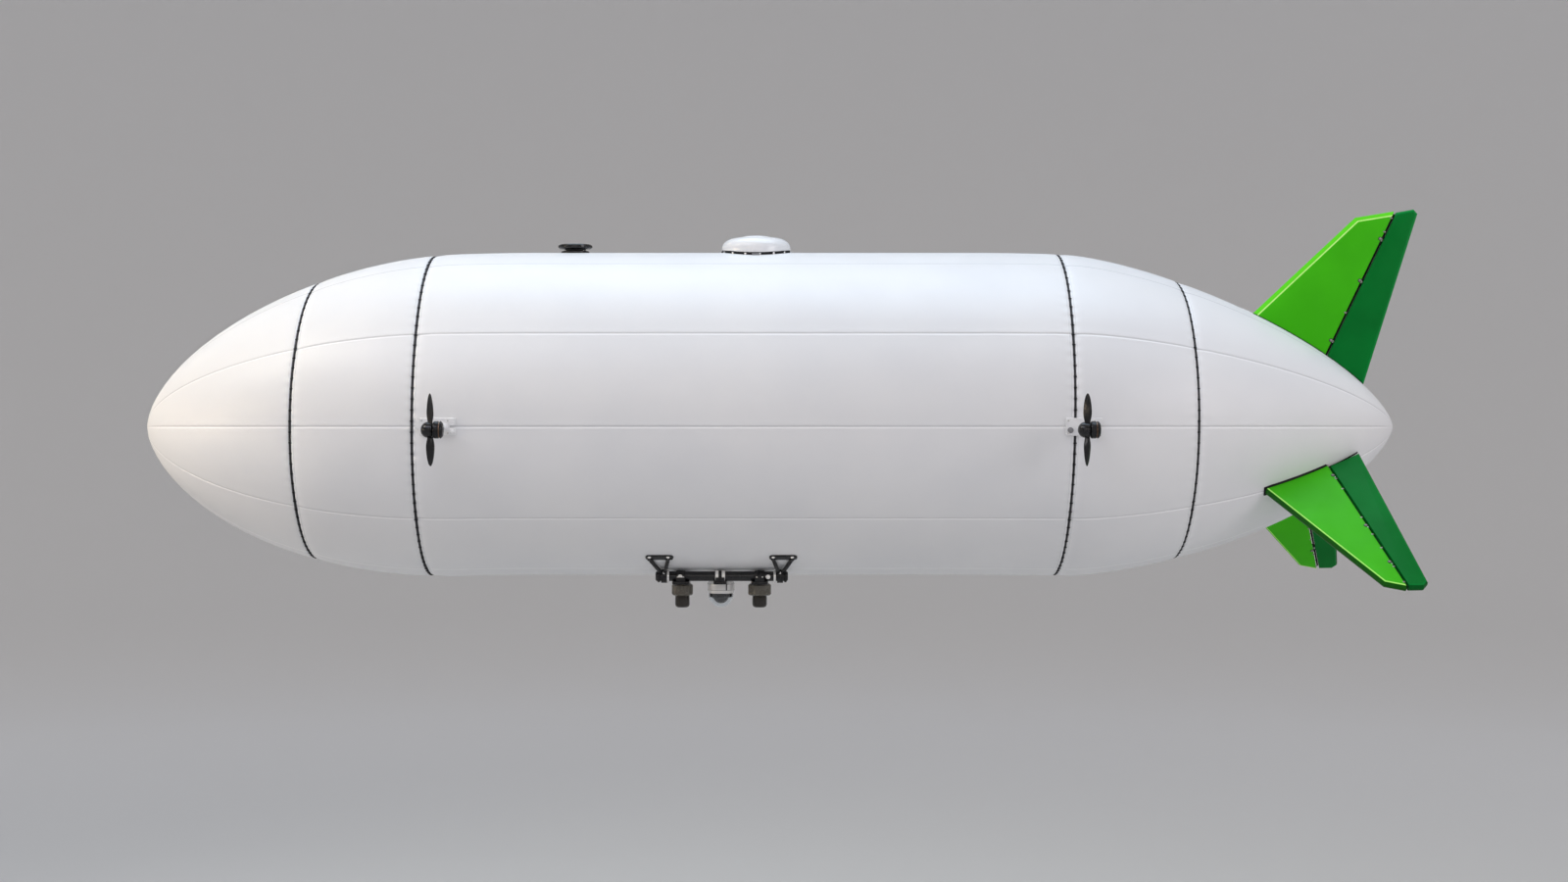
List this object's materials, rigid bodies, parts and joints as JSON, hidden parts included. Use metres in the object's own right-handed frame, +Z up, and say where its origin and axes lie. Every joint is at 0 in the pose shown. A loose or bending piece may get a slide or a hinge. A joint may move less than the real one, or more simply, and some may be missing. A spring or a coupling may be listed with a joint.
{
  "type": "airship",
  "caption": "Small unmanned airship with a laced envelope, hinged tail fins, side propellers, an underslung sensor rig with a dome camera, and antennas on top.",
  "frame": {"origin": "middle of the straight line from the nose tip to the tail tip", "axes": "+X towards the tail along the nose to tail line, +Z up, -Y to the left (port) side; the nose points to -X"},
  "size_m": [6.5459, 2.1298, 2.0524],
  "materials": {
    "envelope": "satin",
    "lacing": "matte",
    "fin_green": "satin",
    "rudder_green": "satin",
    "black_metal": "satin",
    "propeller_black": "gloss",
    "white_plastic": "gloss",
    "silver": "satin",
    "pod_grey": "satin",
    "window_glass": "clear"
  },
  "bodies": {
    "airframe": {"nose_cone": "envelope", "front_section": "envelope", "centre_section": "envelope", "rear_section": "envelope", "tail_cone": "envelope", "seam_band_1": "lacing", "seam_band_2": "lacing", "seam_band_3": "lacing", "seam_band_4": "lacing", "upper_fin": "fin_green", "left_lower_fin": "fin_green", "right_lower_fin": "fin_green", "front_left_motor_mount": "white_plastic", "front_left_motor": "black_metal", "front_right_motor_mount": "white_plastic", "front_right_motor": "black_metal", "rear_left_motor_mount": "white_plastic", "rear_left_motor": "black_metal", "rear_right_motor_mount": "white_plastic", "rear_right_motor": "black_metal", "left_rig_tube": "black_metal", "right_rig_tube": "black_metal", "front_left_bracket": "black_metal", "front_right_bracket": "black_metal", "rear_left_bracket": "black_metal", "rear_right_bracket": "black_metal", "front_cross_plate": "black_metal", "centre_cross_plate": "black_metal", "rear_cross_plate": "black_metal", "front_sensor_pod": "pod_grey", "rear_sensor_pod": "pod_grey", "camera_housing": "silver", "camera_window": "window_glass", "antenna_dome_base": "black_metal", "antenna_dome": "white_plastic", "disc_antenna": "black_metal"},
    "front_left_propeller": {"front_left_propeller": "propeller_black"},
    "front_right_propeller": {"front_right_propeller": "propeller_black"},
    "rear_left_propeller": {"rear_left_propeller": "propeller_black"},
    "rear_right_propeller": {"rear_right_propeller": "propeller_black"},
    "upper_rudder": {"upper_rudder": "rudder_green"},
    "left_ruddervator": {"left_ruddervator": "rudder_green"},
    "right_ruddervator": {"right_ruddervator": "rudder_green"},
    "camera_pan": {"camera_yoke": "black_metal"},
    "camera_tilt": {"camera_ball": "black_metal"}
  },
  "joints": [
    {"name": "front_left_propeller_spin", "type": "hinge", "parent": "airframe", "child": "front_left_propeller", "pos_m": [-1.618, -1.02303, -0.01442], "axis": [1, 0, 0], "continuous": true},
    {"name": "front_right_propeller_spin", "type": "hinge", "parent": "airframe", "child": "front_right_propeller", "pos_m": [-1.618, 1.02303, -0.01442], "axis": [1, 0, 0], "continuous": true},
    {"name": "rear_left_propeller_spin", "type": "hinge", "parent": "airframe", "child": "rear_left_propeller", "pos_m": [1.5015, -1.02271, -0.01442], "axis": [1, 0, 0], "continuous": true},
    {"name": "rear_right_propeller_spin", "type": "hinge", "parent": "airframe", "child": "rear_right_propeller", "pos_m": [1.5015, 1.02271, -0.01442], "axis": [1, 0, 0], "continuous": true},
    {"name": "upper_rudder_hinge", "type": "hinge", "parent": "airframe", "child": "upper_rudder", "pos_m": [3.04075, 0, 0.731], "axis": [0.4352, 0, 0.9003], "range_deg": [-22, 22]},
    {"name": "left_ruddervator_hinge", "type": "hinge", "parent": "airframe", "child": "left_ruddervator", "pos_m": [2.916, -0.64069, -0.48209], "axis": [0.2733, -0.7092, -0.6499], "range_deg": [-22, 22]},
    {"name": "right_ruddervator_hinge", "type": "hinge", "parent": "airframe", "child": "right_ruddervator", "pos_m": [2.916, 0.64069, -0.48209], "axis": [0.2733, 0.7092, -0.6499], "range_deg": [-22, 22]},
    {"name": "camera_pan", "type": "hinge", "parent": "airframe", "child": "camera_pan", "pos_m": [-0.2542, 0, -0.869], "axis": [0, 0, 1], "continuous": true},
    {"name": "camera_tilt", "type": "hinge", "parent": "camera_pan", "child": "camera_tilt", "pos_m": [-0.2542, 0, -0.869], "axis": [0, 1, 0], "range_deg": [-90, 15]}
  ]
}
